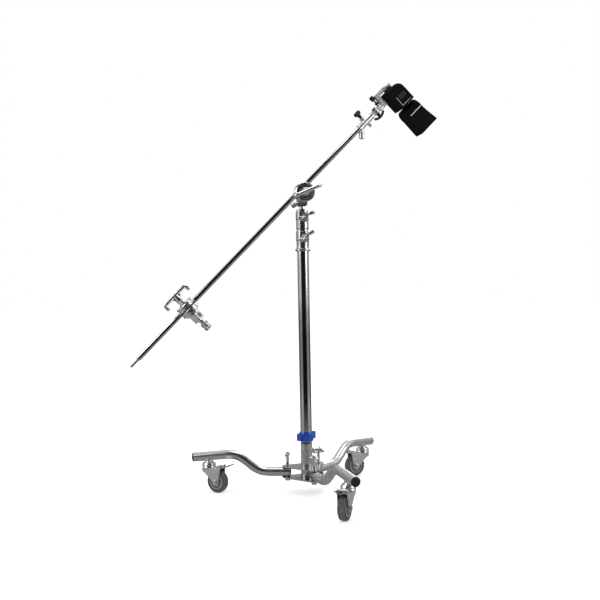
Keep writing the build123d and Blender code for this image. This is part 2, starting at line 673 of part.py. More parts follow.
def bracket_clamp_knob():
    tip = ROD_D / 2 + PLAY
    shank = rod(BRACKET_KNOB_D, tip, 26)
    return rod_frame(BRACKET_KNOB_S, "up") * (shank + knob_grip(24, 25, 15))


def bracket_swivel():
    """Upper half of the bracket: pivot ear and the round post that takes the shoe's stem."""
    ear = rod_frame(PIVOT_S, "up") * rod(27, -TILT_TOP, TILT_MID - PLAY / 2)
    start = PIVOT_S + 14.5
    post = boom_point(0, POST_T) * Rot(0, 90, 0) * rod(POST_D, start, POST_END_S)
    arm = boom_point(PIVOT_S + 9, -TILT_TOP / 2 - PLAY / 4) * Box(16, TILT_TOP - PLAY / 2, 15)
    boss = rod_frame(SHOE_KNOB_S, "up") * rod(12, -2, 12)
    body = ear + arm + post + boss
    body -= boom_point(0, POST_T) * Rot(0, 90, 0) * rod(STEM_D + 2 * RUN, STEM_END_S - PLAY, POST_END_S + 1)
    body -= rod_frame(SHOE_KNOB_S, "up") * rod(SHOE_KNOB_D + 2 * RUN, -2, 14)
    return body - rod_frame(PIVOT_S, "up") * rod(TILT_D + 2 * HOLE_PLAY, -20, 20)


def bracket_tilt_knob():
    """Clamp bolt through both ears with a curved wing grip."""
    bolt = rod(TILT_D, -TILT_TOP - 3, TILT_TOP + 6)
    head = rod(14, -TILT_TOP - 4, -TILT_TOP - PLAY)
    collar_part = turned([(0, TILT_TOP + PLAY), (7, TILT_TOP + PLAY), (5.5, TILT_TOP + 8),
                          (4, TILT_TOP + 15), (0, TILT_TOP + 15)])
    bow = CenterArc((0, TILT_TOP - 17), 32, 53, 74)
    wing = Plane.XZ * bow
    bar = sweep(Plane(wing @ 0, z_dir=wing % 0) * Circle(4.2), wing)
    ends = [Pos(*(wing @ k)) * Sphere(4.2) for k in (0, 1)]
    return rod_frame(PIVOT_S, "down") * (bolt + head + collar_part + bar + ends[0] + ends[1])


def bracket_shoe():
    """Stem in the post, a link block and the slotted shoe that the flash foot slides into."""
    stem = boom_point(0, POST_T) * Rot(0, 90, 0) * rod(STEM_D, STEM_END_S, BLOCK_S + 4)
    shoe_low = FLASH_BASE_T + LOCK_RING_T + PLAY
    shoe_top = shoe_low + SHOE_T
    link_low = POST_T - 7.5
    link = boom_point(BLOCK_S + BLOCK_L / 2, (link_low + shoe_top) / 2) * Box(BLOCK_L, shoe_top - link_low, 18)
    link = fillet(link.edges().filter_by(boom_axis("z")), 3)
    plate_start = BLOCK_S + BLOCK_L / 2
    plate = boom_point((plate_start + FLASH_S) / 2, (shoe_low + shoe_top) / 2) * \
        Box(FLASH_S - plate_start, SHOE_T, 20)
    plate += rod_frame(FLASH_S, "up") * turned([(0, shoe_low), (SHOE_R - 1.5, shoe_low), (SHOE_R, shoe_low + 2),
                                                (SHOE_R, shoe_top - 4), (SHOE_R - 4, shoe_top), (0, shoe_top)])
    wide = boom_point(FLASH_S, shoe_low + SLOT_LIP + FOOT_T / 2) * Box(FOOT_W + 2 * PLAY, FOOT_T + 2 * PLAY, 40)
    slot = boom_point(FLASH_S, shoe_low) * Box(FOOT_NECK + 2 * PLAY, 2 * SLOT_LIP + 1, 40)
    return stem + link + plate - wide - slot


def bracket_shoe_knob():
    tip = POST_T + STEM_D / 2 + PLAY
    body = turned([(0, tip), (SHOE_KNOB_D / 2, tip), (SHOE_KNOB_D / 2, 12.5), (6, 12.5), (6, 19), (2.6, 20),
                   (2.6, 28), (6.5, 29), (7, 31), (7, 44), (5.5, 46), (0, 46)])
    return rod_frame(SHOE_KNOB_S, "up") * body


# ---------------------------------------------------------------- flash unit, hanging across the rod

def flash_body():
    top = FLASH_BASE_T
    low = top - FLASH_H
    side = Rectangle(FLASH_W, FLASH_H)
    side = fillet(side.vertices().group_by(Axis.X)[-1].sort_by(Axis.Y)[-1], FLASH_BACK_R)
    side = fillet(side.vertices().group_by(Axis.X)[0], 6)
    body = extrude(side, FLASH_DEPTH / 2, both=True)
    rims = body.faces().sort_by(Axis.Z)
    body = chamfer(rims[0].edges() + rims[-1].edges(), 4)
    body = boom_point(BODY_S, (low + top) / 2) * body
    axis = rod_frame(FLASH_S, "up")
    ring = axis * rod(30, top - 1, top + LOCK_RING_T)
    neck = boom_point(FLASH_S, top + LOCK_RING_T + 1.5) * Box(FOOT_NECK, 6, 18)
    foot = boom_point(FLASH_S, top + LOCK_RING_T + PLAY + SLOT_LIP + FOOT_T / 2) * Box(FOOT_W, FOOT_T, 20)
    window = boom_point(BODY_S + 2, low + 26, FLASH_DEPTH / 2) * Box(46, 40, 2.4)
    turret = rod_frame(BODY_S, "up") * rod(NECK_D + 2 * RUN, low - 1, low + 6)
    return body + ring + neck + foot - window - turret


def flash_neck():
    """Turret between body and head: a spigot that turns in the body and the drum the head tilts on."""
    spigot = rod_frame(BODY_S, "up") * rod(NECK_D, HEAD_T - 4, BODY_END_T + 5)
    drum = boom_point(BODY_S, HINGE_T) * Rot(0, 90, 0) * rod(HEAD_DEPTH - 1, -DRUM_W / 2, DRUM_W / 2)
    return spigot + drum


def flash_head():
    """Rounded about its hinge, flared to the front, open for the lens."""
    low = HEAD_T - HEAD_L
    start = BOOM * Pos(BODY_S, ROD_RAISE + HINGE_T, ROD_OUT) * Rot(90, 0, 0)
    run = HINGE_T - low
    sections = [start * RectangleRounded(HEAD_W, HEAD_DEPTH, 5),
                start * Pos(1, 0, run * 0.4) * RectangleRounded(HEAD_W + 3, HEAD_DEPTH + 2, 6),
                start * Pos(HEAD_LEAN, 0, run) * RectangleRounded(HEAD_FRONT_W, HEAD_DEPTH + 4, 6)]
    body = loft(sections, ruled=True)
    hinge = boom_point(BODY_S, HINGE_T) * Rot(0, 90, 0)
    cheeks = hinge * rod(HEAD_DEPTH, -HEAD_W / 2, HEAD_W / 2)
    cheeks = chamfer(cheeks.edges().filter_by(GeomType.CIRCLE), 2)
    drum_room = hinge * rod(HEAD_DEPTH + 2 * RUN, -DRUM_W / 2 - PLAY, DRUM_W / 2 + PLAY)
    window = boom_point(BODY_S + HEAD_LEAN, low + LENS_T / 2) * Box(HEAD_FRONT_W - 8, LENS_T, HEAD_DEPTH - 4)
    hollow = boom_point(BODY_S + HEAD_LEAN - 1, low + HOLLOW / 2) * Box(HEAD_W - 8, HOLLOW, HEAD_DEPTH - 8)
    notch = boom_point(BODY_S, HINGE_T - NECK_D / 4, -HEAD_DEPTH / 2) * \
        Box(NECK_D + 2 * PLAY, NECK_D / 2 + 2 * PLAY, NOTCH_IN)
    return body + cheeks - drum_room - window - hollow - notch


def flash_lens():
    low = HEAD_T - HEAD_L
    return boom_point(BODY_S + HEAD_LEAN, low + LENS_T / 2 - 0.6) * Box(HEAD_FRONT_W - 8, LENS_T, HEAD_DEPTH - 4)


# ---------------------------------------------------------------- build

def main():
    save("hub_top_plate", hub_plate(HUB_TOP_Z))
    save("hub_bottom_plate", hub_plate(HUB_LOW_Z))
    save("column_socket", column_socket())
    save("socket_screw", socket_screw())
    leg_parts = {"tube": leg_tube(), "end_cap": leg_cap(), "caster_stem": caster_stem()}
    caster_parts = {"caster_fork": caster_fork(), "wheel_tyre": wheel_tyre(), "wheel_hub": wheel_hub(),
                    "wheel_axle": wheel_axle(), "brake_pedal": brake_pedal()}
    lock_facing = {"left": 80.0, "rear": 30.0, "front": -50.0}
    for name, azimuth in LEG_AZ.items():
        for part, shape in leg_parts.items():
            save(f"leg_{part}_{name}", spun(azimuth, shape))
        for part, shape in caster_parts.items():
            save(f"{part}_{name}", caster_place(name) * shape)
        save(f"leg_lock_{name}", leg_lock(azimuth, lock_facing[name]))
    save("column_tube", column_tube())
    save("quick_release_ring", quick_release_ring())
    save("lower_collar", collar(COLLAR_A_Z, COLLAR_H, COLUMN_D, MIDDLE_D, True))
    save("upper_collar", collar(COLLAR_B_Z, COLLAR_B_H, MIDDLE_D, TOP_D, False))
    save("lower_collar_screw", collar_screw(COLLAR_A_Z, COLLAR_H, MIDDLE_D, 33))
    save("upper_collar_screw", collar_screw(COLLAR_B_Z, COLLAR_B_H, TOP_D, 23))
    save("middle_tube", middle_tube())
    save("top_tube", top_tube())
    save("head_receiver", head_receiver())
    save("head_stud_screw", head_stud_screw())
    save("head_inner_disc", BOOM * grip_disc(JAW_Z, 1))
    save("head_outer_disc", BOOM * grip_disc(ROD_OUT + JAW_GAP / 2, -1))
    save("head_t_handle", head_t_handle())
    save("boom_rod", boom_rod())
    save("clamp_inner_disc", clamp_inner_disc())
    save("clamp_outer_disc", clamp_outer_disc())
    save("clamp_receiver", clamp_receiver())
    save("clamp_t_handle", clamp_t_handle())
    save("clamp_screw", clamp_screw())
    save("bracket_clamp", bracket_clamp())
    save("bracket_clamp_knob", bracket_clamp_knob())
    save("bracket_swivel", bracket_swivel())
    save("bracket_tilt_knob", bracket_tilt_knob())
    save("bracket_shoe", bracket_shoe())
    save("bracket_shoe_knob", bracket_shoe_knob())
    save("flash_body", flash_body())
    save("flash_neck", flash_neck())
    save("flash_head", flash_head())
    save("flash_lens", flash_lens())


main()
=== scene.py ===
# %% [markdown]
# # A rolling grip stand
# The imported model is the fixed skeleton: every tube, disc and caster already has its true size and place.
# This lesson gives each of those pieces its finish, and adds the small repeated things that make metal look
# made: knurls, threads, jaw teeth, weld beads, wheel ribs and the panel of the flash.
# A model could also be rebuilt by hand in Blender, but then its sizes would drift away from the real ones.

import json
import math

import bmesh
import bpy
from mathutils import Matrix, Vector


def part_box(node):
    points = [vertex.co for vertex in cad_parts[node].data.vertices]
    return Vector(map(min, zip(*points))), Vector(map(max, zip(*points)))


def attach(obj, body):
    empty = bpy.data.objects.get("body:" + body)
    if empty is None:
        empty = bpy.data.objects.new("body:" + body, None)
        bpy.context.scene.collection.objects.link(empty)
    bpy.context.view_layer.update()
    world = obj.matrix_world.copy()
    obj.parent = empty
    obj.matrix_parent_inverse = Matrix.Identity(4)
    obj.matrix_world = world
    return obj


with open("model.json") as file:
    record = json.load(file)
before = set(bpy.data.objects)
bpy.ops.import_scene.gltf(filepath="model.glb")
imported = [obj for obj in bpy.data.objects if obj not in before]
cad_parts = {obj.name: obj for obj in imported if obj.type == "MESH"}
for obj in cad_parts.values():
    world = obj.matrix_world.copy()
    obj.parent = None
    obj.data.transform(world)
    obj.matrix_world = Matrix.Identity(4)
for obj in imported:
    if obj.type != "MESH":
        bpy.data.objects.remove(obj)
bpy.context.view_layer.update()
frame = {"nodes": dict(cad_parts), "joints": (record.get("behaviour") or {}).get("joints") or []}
nodes = frame["nodes"]
joints = {joint["name"]: joint for joint in frame["joints"]}

# %% [markdown]
# ## The camera
# The stand is looked at from well away and from about half its height, so uprights stay upright.
# A long lens close to 50 mm keeps the boom from looking stretched. The very small roll is the lean of a
# tripod head that was not quite level. A level camera would be simpler, but the column would lean instead.

# %% Camera
LENS_MM = 48.7
CAMERA_AT = Vector((-0.0123, -2.672, 0.6446))
CAMERA_ROLL = math.radians(1.05)

camera_data = bpy.data.cameras.new("camera")
camera_data.lens = LENS_MM
camera_data.sensor_width = 36.0
camera_data.shift_y = -0.005
camera = bpy.data.objects.new("camera", camera_data)
upright = Matrix.Rotation(math.radians(90), 4, "X")
camera.matrix_world = Matrix.Translation(CAMERA_AT) @ Matrix.Rotation(CAMERA_ROLL, 4, "Y") @ upright
bpy.context.scene.collection.objects.link(camera)
bpy.context.scene.camera = camera
bpy.context.scene.view_settings.view_transform = "Standard"
print("camera stands", round(-CAMERA_AT.y, 2), "m in front of the column")

# %% [markdown]
# ## Sums that read as sums
# Node trees are easiest to read when a sum looks like a sum. Link wraps one output socket and turns
# Python's own signs into Math nodes, and Graph.node is the single way to add any other node: first its
# settings, then the values or links of its sockets. Clicking nodes together by hand gives the same tree,
# but cannot be repeated for ten finishes.


# %% Link and Graph
class Link:
    """One output socket. Python's signs add Math nodes behind it."""

    def __init__(self, graph, socket):
        self.graph = graph
        self.socket = socket

    def maths(self, operation, first, second=0.0):
        return self.graph.node("ShaderNodeMath", {"operation": operation}, {0: first, 1: second})

    def __add__(self, other):
        return self.maths("ADD", self, other)

    def __radd__(self, other):
        return self.maths("ADD", other, self)

    def __sub__(self, other):
        return self.maths("SUBTRACT", self, other)

    def __rsub__(self, other):
        return self.maths("SUBTRACT", other, self)

    def __mul__(self, other):
        return self.maths("MULTIPLY", self, other)

    def __rmul__(self, other):
        return self.maths("MULTIPLY", other, self)

    def __truediv__(self, other):
        return self.maths("DIVIDE", self, other)

    def __gt__(self, other):
        return self.maths("GREATER_THAN", self, other)

    def __lt__(self, other):
        return self.maths("LESS_THAN", self, other)


class Graph:
    """A node tree, of a material or of Geometry Nodes."""

    def __init__(self, tree):
        self.tree = tree

    def node(self, kind, settings=None, values=None, output=0):
        made = self.tree.nodes.new(kind)
        for key, value in (settings or {}).items():
            if key == "stops":
                self.fill_ramp(made.color_ramp, value)
            else:
                setattr(made, key, value)
        for key, value in (values or {}).items():
            if isinstance(value, Link):
                self.tree.links.new(value.socket, made.inputs[key])
            else:
                made.inputs[key].default_value = value
        return Link(self, made.outputs[output] if len(made.outputs) else None)

    @staticmethod
    def fill_ramp(ramp, stops):
        while len(ramp.elements) > 1:
            ramp.elements.remove(ramp.elements[-1])
        for index, (place, grey) in enumerate(stops):
            element = ramp.elements[0] if index == 0 else ramp.elements.new(place)
            element.position = place
            element.color = (grey, grey, grey, 1.0)


print("helpers ready")

# %% [markdown]
# ## Light and floor
# Chrome has no colour of its own: it shows the room. A studio with a dark front, bright sides and a duller
# back gives a chromed tube its dark middle band, its bright flanks and a thin grey outline. The room is the
# world's colour, read by direction: one ramp from front to back, darker towards the top of the front, and a
# second ramp that lightens the back wall with height.
# Dull surfaces get an even soft light instead, and the eye sees plain white: the Light Path node tells the
# three apart. Real black cards would do the same, but would stand in the way of the other views.

# %% World
scene = bpy.context.scene
world = bpy.data.worlds.new("white_room")
scene.world = world
world.use_nodes = True
room = Graph(world.node_tree)
for old in list(world.node_tree.nodes):
    world.node_tree.nodes.remove(old)
direction = room.node("ShaderNodeTexCoord", output="Generated")
depth = room.node("ShaderNodeSeparateXYZ", values={0: direction}, output="Y")
height = room.node("ShaderNodeSeparateXYZ", values={0: direction}, output="Z")
FRONT_TO_BACK = [
    (0.0, 0.012), (0.1, 0.02), (0.15, 0.6), (0.24, 0.85), (0.5, 0.85), (0.58, 0.34), (0.75, 0.3), (1.0, 0.3)
]
above = room.node("ShaderNodeMath", {"operation": "MAXIMUM"}, {0: height, 1: 0.0})
shade = room.node(
    "ShaderNodeValToRGB", {"stops": FRONT_TO_BACK}, {0: depth * 0.5 + 0.5 - above * 0.4}
)
ceiling = room.node(
    "ShaderNodeValToRGB", {"stops": [(0.0, 0.0), (0.12, 0.0), (0.5, 0.55), (1.0, 0.9)]}, {0: above}
)
mirrored = room.node(
    "ShaderNodeMix", {"data_type": "RGBA", "blend_type": "LIGHTEN"},
    {0: depth > 0.0, 6: shade, 7: ceiling}, output=2,
)
path_seen = room.node("ShaderNodeLightPath", output="Is Camera Ray")
path_soft = room.node("ShaderNodeLightPath", output="Is Diffuse Ray")
even = (0.62, 0.62, 0.62, 1.0)
soft = room.node("ShaderNodeMix", {"data_type": "RGBA"}, {0: path_soft, 6: mirrored, 7: even}, output=2)
white = (1.0, 1.0, 1.0, 1.0)
colour = room.node("ShaderNodeMix", {"data_type": "RGBA"}, {0: path_seen, 6: soft, 7: white}, output=2)
sky = room.node("ShaderNodeBackground", values={"Color": colour, "Strength": 1.0})
room.node("ShaderNodeOutputWorld", values={"Surface": sky})


# %% Soft lights
def softbox(name, place, target, width, height, power):
    data = bpy.data.lights.new(name, "AREA")
    data.shape = "RECTANGLE"
    data.size = width
    data.size_y = height
    data.energy = power
    lamp = bpy.data.objects.new(name, data)
    lamp.location = place
    lamp.rotation_euler = (Vector(target) - Vector(place)).to_track_quat("-Z", "Y").to_euler()
    scene.collection.objects.link(lamp)
    return lamp


MIDDLE = (0.0, 0.0, 0.65)
softbox("left_softbox", (-2.2, -1.1, 1.8), MIDDLE, 0.8, 1.8, 26)
softbox("right_softbox", (2.2, -1.0, 1.5), MIDDLE, 0.6, 1.6, 18)
softbox("top_softbox", (0.1, -0.2, 3.2), MIDDLE, 2.0, 1.6, 26)
softbox("back_softbox", (0.8, 2.4, 1.7), MIDDLE, 1.2, 1.2, 16)

# %% [markdown]
# The floor is white paper where it is looked at. It glows a little, and more so far away, so it meets the
# white wall without a line, and the soft contact shadows stay. Chrome mirrors a duller floor: grey near the
# stand, and further out the same front-to-back ramp as the room, as on a small sheet in a large studio.

# %% Floor
floor_mesh = bpy.data.meshes.new("floor")
REACH = 40.0
FLOOR_CORNERS = [(-REACH, -REACH, 0), (REACH, -REACH, 0), (REACH, REACH, 0), (-REACH, REACH, 0)]
floor_mesh.from_pydata(FLOOR_CORNERS, [], [(0, 1, 2, 3)])
floor = bpy.data.objects.new("floor", floor_mesh)
scene.collection.objects.link(floor)
floor_paint = bpy.data.materials.new("white_paper")
floor_paint.use_nodes = True
paper = Graph(floor_paint.node_tree)
white_side = floor_paint.node_tree.nodes["Principled BSDF"]
white_side.inputs["Base Color"].default_value = (0.92, 0.92, 0.92, 1.0)
white_side.inputs["Roughness"].default_value = 0.8
white_side.inputs["Specular IOR Level"].default_value = 0.1
white_side.inputs["Emission Strength"].default_value = 1.0
spot = paper.node("ShaderNodeTexCoord", output="Object")
reach = paper.node("ShaderNodeVectorMath", {"operation": "LENGTH"}, {0: spot}, output="Value")
glow = paper.node(
    "ShaderNodeValToRGB", {"stops": [(0.0, 0.3), (0.12, 0.34), (0.5, 0.52), (1.0, 0.6)]}, {0: reach * 0.2}
)
floor_paint.node_tree.links.new(glow.socket, white_side.inputs["Emission Color"])
frontness = paper.node("ShaderNodeSeparateXYZ", values={0: spot}, output="Y") / reach
far_floor = paper.node("ShaderNodeValToRGB", {"stops": FRONT_TO_BACK}, {0: frontness * 0.5 + 0.5})
far_part = paper.node("ShaderNodeValToRGB", {"stops": [(0.12, 0.0), (0.4, 1.0)]}, {0: reach * 0.2})
far_floor = paper.node(
    "ShaderNodeMix", {"data_type": "RGBA", "blend_type": "MULTIPLY"},
    {0: 1.0, 6: far_floor, 7: (0.5, 0.5, 0.5, 1.0)}, output=2,
)
grey_floor = paper.node(
    "ShaderNodeMix", {"data_type": "RGBA"}, {0: far_part, 6: (0.3, 0.3, 0.3, 1.0), 7: far_floor}, output=2
)
grey_side = paper.node("ShaderNodeBsdfDiffuse", values={"Color": grey_floor})
mirrored_ray = paper.node("ShaderNodeLightPath", output="Is Glossy Ray")
both_sides = paper.node(
    "ShaderNodeMixShader", values={0: mirrored_ray, 1: Link(paper, white_side.outputs[0]), 2: grey_side}
)
floor_out = floor_paint.node_tree.nodes["Material Output"]
floor_paint.node_tree.links.new(both_sides.socket, floor_out.inputs["Surface"])
floor_mesh.materials.append(floor_paint)
print("room lit by four soft lights")

# %% [markdown]
# ## Directions on the stand
# The boom, its two grip heads and the bracket all lean with the rod, so their patterns and pieces are
# easiest to place in the rod's own directions: x up along the rod, y to its upper side, z to the front.
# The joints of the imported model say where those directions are, so nothing has to be measured again.

# %% Own directions of the leaning pieces
MM = 0.001


def directions(origin, z_axis, x_axis):
    """Matrix with its z and x axes along the ones given."""
    z = Vector(z_axis).normalized()
    x = Vector(x_axis)
    x = (x - z * z.dot(x)).normalized()
    place = Matrix((x, z.cross(x), z)).transposed().to_4x4()
    place.translation = Vector(origin)
    return place


def at_joint(name, x_axis=(0, 0, 1)):
    joint = joints[name]
    return directions(joint["pos_m"], joint["axis"], x_axis)


def shift(x=0.0, y=0.0, z=0.0):
    """Move in millimetres."""
    return Matrix.Translation((x * MM, y * MM, z * MM))


ROD_RAISE = 14.2
ALONG_ROD = joints["boom_slide"]["axis"]
HEAD = at_joint("head_tilt", ALONG_ROD)
ROD = HEAD @ shift(y=ROD_RAISE)
CLAMP = at_joint("clamp_t_handle_turn", ALONG_ROD) @ shift(z=-30)
COLUMN = Matrix.Identity(4)
print("boom tilts", round(math.degrees(math.asin(ALONG_ROD[2])), 1), "degrees")


# %% [markdown]
# ## Finishes
# Every finish starts from the same few moves: take the piece's own coordinates, stretch them, read a noise,
# and let it change the colour, the roughness and the surface slope a little. Painted image maps would need
# unwrapped pieces, while coordinates in metres give the right scale on every piece at once.
# The Bevel node rounds the look of sharp edges, so that turned metal catches a line of light there.


# %% Finish
class Finish(Graph):
    """A Principled material with helpers for its own patterns."""

    def __init__(self, name, **constants):
        self.material = bpy.data.materials.new(name)
        self.material.use_nodes = True
        super().__init__(self.material.node_tree)
        self.shader = self.tree.nodes["Principled BSDF"]
        for label, value in constants.items():
            self.shader.inputs[label.replace("_", " ")].default_value = value

    def coordinates(self, place=COLUMN, stretch=(1.0, 1.0, 1.0)):
        """Metres in the piece's own directions, then stretched."""
        plain = self.node("ShaderNodeTexCoord", output="Object")
        turned = self.node(
            "ShaderNodeMapping",
            {"vector_type": "TEXTURE"},
            {"Vector": plain, "Location": place.to_translation(), "Rotation": place.to_euler()},
        )
        return self.node("ShaderNodeMapping", values={"Vector": turned, "Scale": stretch})

    def noise(self, where, scale, detail=2.0, rough=0.5):
        values = {"Vector": where, "Scale": scale, "Detail": detail, "Roughness": rough}
        return self.node("ShaderNodeTexNoise", values=values)

    def ramp(self, factor, *stops):
        return self.node("ShaderNodeValToRGB", {"stops": list(stops)}, {0: factor})

    def mix(self, factor, first, second):
        return self.node("ShaderNodeMix", {"data_type": "RGBA"}, {0: factor, 6: first, 7: second}, output=2)

    def part(self, where, axis):
        return self.node("ShaderNodeSeparateXYZ", values={0: where}, output=axis)

    def distance_from_axis(self, where):
        flat = self.node("ShaderNodeVectorMath", {"operation": "MULTIPLY"}, {0: where, 1: (1.0, 1.0, 0.0)})
        return self.node("ShaderNodeVectorMath", {"operation": "LENGTH"}, {0: flat}, output="Value")

    def soft_edges(self, radius_mm):
        return self.node("ShaderNodeBevel", {"samples": 4}, {"Radius": radius_mm * MM})

    def bump(self, height, strength, depth_mm, under=None):
        values = {"Height": height, "Strength": strength, "Distance": depth_mm * MM}
        if under is not None:
            values["Normal"] = under
        return self.node("ShaderNodeBump", values=values)

    def feed(self, label, link):
        self.tree.links.new(link.socket, self.shader.inputs[label])


def grey(value, warmth=0.0):
    """A colour from one brightness, a little warmer or cooler."""
    return (value * (1 + warmth), value, value * (1 - warmth), 1.0)


# %% [markdown]
# ### Chromed tube
# The legs, the column, the risers and the rod are drawn steel tube with bright chrome. Drawing leaves very
# fine lines along the tube, and hands leave dull smears. Noise squeezed across the tube and stretched along
# it makes the lines. Anisotropic shading could hint at them as well, but it shows nothing up close.


# %% Chromed tube finish
def chromed_tube(name, place, brightness=0.6, dull=0.07):
    finish = Finish(name, Metallic=1.0)
    local = finish.coordinates(place)
    lines = finish.noise(finish.coordinates(place, (2600.0, 2600.0, 14.0)), 1.0, 1.0)
    smears = finish.noise(local, 22.0, 4.0, 0.6)
    specks = finish.noise(local, 900.0, 2.0, 0.7)
    worn = finish.ramp(smears, (0.42, 0.0), (0.62, 1.0))
    finish.feed("Base Color", finish.mix(worn, grey(brightness, 0.004), grey(brightness * 0.88, 0.012)))
    finish.feed("Roughness", dull + worn * 0.07 + lines * 0.03 + (specks > 0.66) * 0.08)
    finish.feed("Normal", finish.bump(lines, 0.09, 0.05, finish.soft_edges(0.5)))
    return finish.material


# %% [markdown]
# ### Plated casting and turned metal
# Collars, sockets and blocks are castings under the plating: the skin stays a little sandy while the rims are
# ground bright. Discs, screws and knobs are turned, so their lines run round the axis. The turned recipe reads
# the distance from the piece's own axis; the casting recipe gives a sandier skin instead.


# %% Casting and turned finishes
def plated_casting(name, place, brightness=0.56, dull=0.2):
    finish = Finish(name, Metallic=1.0)
    local = finish.coordinates(place)
    sand = finish.noise(local, 1500.0, 3.0, 0.65)
    cloud = finish.noise(local, 60.0, 3.0, 0.55)
    patch = finish.ramp(cloud, (0.38, 0.0), (0.64, 1.0))
    finish.feed("Base Color", finish.mix(patch, grey(brightness, 0.012), grey(brightness * 0.8, 0.02)))
    finish.feed("Roughness", dull + patch * 0.09 + sand * 0.06)
    finish.feed("Normal", finish.bump(sand, 0.16, 0.12, finish.soft_edges(0.9)))
    return finish.material


def turned_metal(name, place, brightness=0.58, dull=0.14):
    finish = Finish(name, Metallic=1.0)
    local = finish.coordinates(place)
    reach = finish.distance_from_axis(local)
    height = finish.part(local, "Z")
    rings = finish.noise(
        finish.node("ShaderNodeCombineXYZ", values={"X": reach * 3200.0, "Z": height * 3200.0}), 1.0, 1.0
    )
    cloud = finish.noise(local, 90.0, 3.0, 0.6)
    patch = finish.ramp(cloud, (0.4, 0.0), (0.65, 1.0))
    finish.feed("Base Color", finish.mix(patch, grey(brightness, 0.008), grey(brightness * 0.84, 0.015)))
    finish.feed("Roughness", dull + rings * 0.1 + patch * 0.06)
    finish.feed("Normal", finish.bump(rings, 0.14, 0.08, finish.soft_edges(0.6)))
    return finish.material


# %% [markdown]
# ### Zinc plated pressings
# The forks, races and pedals of the casters are pressed sheet with zinc: bluish, cloudy and duller than
# chrome, with brighter edges where the press has rolled them. The toe of the brake pedal is dipped in dark
# plastic, which a mask along the pedal's own length puts on.


# %% Zinc finish
def zinc_pressing(name, place, dipped_from_mm=None):
    finish = Finish(name)
    local = finish.coordinates(place)
    spangle = {"Vector": local, "Scale": 260.0}
    crystals = finish.node("ShaderNodeTexVoronoi", {"feature": "F1"}, spangle, "Color")
    cell = finish.part(crystals, "X")
    fine = finish.noise(local, 1300.0, 2.0)
    bare = finish.mix(cell, grey(0.76, -0.008), grey(0.68, -0.012))
    if dipped_from_mm is None:
        finish.shader.inputs["Metallic"].default_value = 1.0
        finish.feed("Base Color", bare)
        finish.feed("Roughness", 0.2 + cell * 0.1 + fine * 0.05)
    else:
        toe = finish.part(local, "X") > dipped_from_mm * MM
        finish.feed("Base Color", finish.mix(toe, bare, grey(0.03)))
        finish.feed("Metallic", 1.0 - toe)
        finish.feed("Roughness", 0.22 + cell * 0.08 + toe * 0.26)
    finish.feed("Normal", finish.bump(fine, 0.1, 0.1, finish.soft_edges(0.8)))
    return finish.material


# %% [markdown]
# ### Plastics, tyre and lens
# Moulded plastic has a fine spark-eroded grain that breaks up its shine. The tyre is a harder grey tread with
# floor dust in the grain and a parting line. The lens is clear plastic, pale where its ribs gather light.


# %% Plastic, tyre and lens finishes
def moulded_plastic(name, colour, rough=0.42, grain=1100.0, deep=0.2, shine=0.4):
    finish = Finish(name, Specular_IOR_Level=shine)
    local = finish.coordinates()
    spark = finish.noise(local, grain, 3.0, 0.6)
    handled = finish.ramp(finish.noise(local, 35.0, 3.0), (0.4, 0.0), (0.66, 1.0))
    lighter = tuple(min(1.0, channel * 1.5 + 0.002) for channel in colour[:3]) + (1.0,)
    finish.feed("Base Color", finish.mix(spark, colour, lighter))
    finish.feed("Roughness", rough + spark * 0.16 - handled * 0.07)
    finish.feed("Normal", finish.bump(spark, deep, 0.12, finish.soft_edges(0.7)))
    return finish.material


TREAD_FROM = 35.6 * MM
PARTING_HALF = 0.5 * MM


def tyre_rubber(name, place):
    finish = Finish(name, Specular_IOR_Level=0.3)
    local = finish.coordinates(place)
    reach = finish.distance_from_axis(local)
    across = finish.part(local, "Z")
    grain = finish.noise(local, 800.0, 3.0, 0.65)
    dust = finish.ramp(finish.noise(local, 130.0, 4.0, 0.6), (0.4, 0.0), (0.7, 1.0))
    tread = reach > TREAD_FROM
    parting = (across < PARTING_HALF) * (across > -PARTING_HALF) * tread
    dusty = tread * dust * 0.5 + dust * 0.15
    finish.feed("Base Color", finish.mix(dusty, grey(0.055, 0.01), grey(0.16, 0.03)))
    finish.feed("Roughness", 0.5 + grain * 0.2 + tread * 0.1)
    finish.feed("Normal", finish.bump(grain * 0.5 + parting, 0.3, 0.25, finish.soft_edges(0.6)))
    return finish.material


def lens_plastic(name):
    finish = Finish(name, Specular_IOR_Level=0.6, Coat_Weight=0.4)
    local = finish.coordinates(ROD)
    haze = finish.noise(local, 240.0, 3.0)
    finish.feed("Base Color", finish.mix(haze, (0.62, 0.64, 0.62, 1.0), (0.8, 0.81, 0.78, 1.0)))
    finish.feed("Roughness", 0.12 + haze * 0.12)
    return finish.material


# %% [markdown]
# ### Blue anodised ring
# The quick-release ring is aluminium with a blue anodised skin: still metal, so its highlights stay blue,
# under a thin clear layer that shines white. Plain paint would have lost the blue in the highlights.


# %% Anodised finish
def anodised_blue(name):
    finish = Finish(name, Metallic=0.55, Coat_Weight=0.5, Coat_Roughness=0.12)
    local = finish.coordinates()
    cloud = finish.noise(local, 130.0, 3.0)
    lines = finish.noise(finish.coordinates(COLUMN, (30.0, 30.0, 2600.0)), 1.0, 1.0)
    finish.feed("Base Color", finish.mix(cloud, (0.01, 0.055, 0.34, 1.0), (0.02, 0.09, 0.5, 1.0)))
    finish.feed("Roughness", 0.22 + lines * 0.12)
    finish.feed("Normal", finish.bump(lines, 0.12, 0.06, finish.soft_edges(1.0)))
    return finish.material


print("finishes described")

# %% [markdown]
# ## Give every skeleton node its finish
# A finish is assigned to the node's own material slot, so the node keeps its shape and its place.
# Pieces that lean or turn get a copy of the finish in their own directions, so the lines on them run true.


# %% Assign
def give(node, material):
    mesh = nodes[node].data
    mesh.materials.clear()
    mesh.materials.append(material)


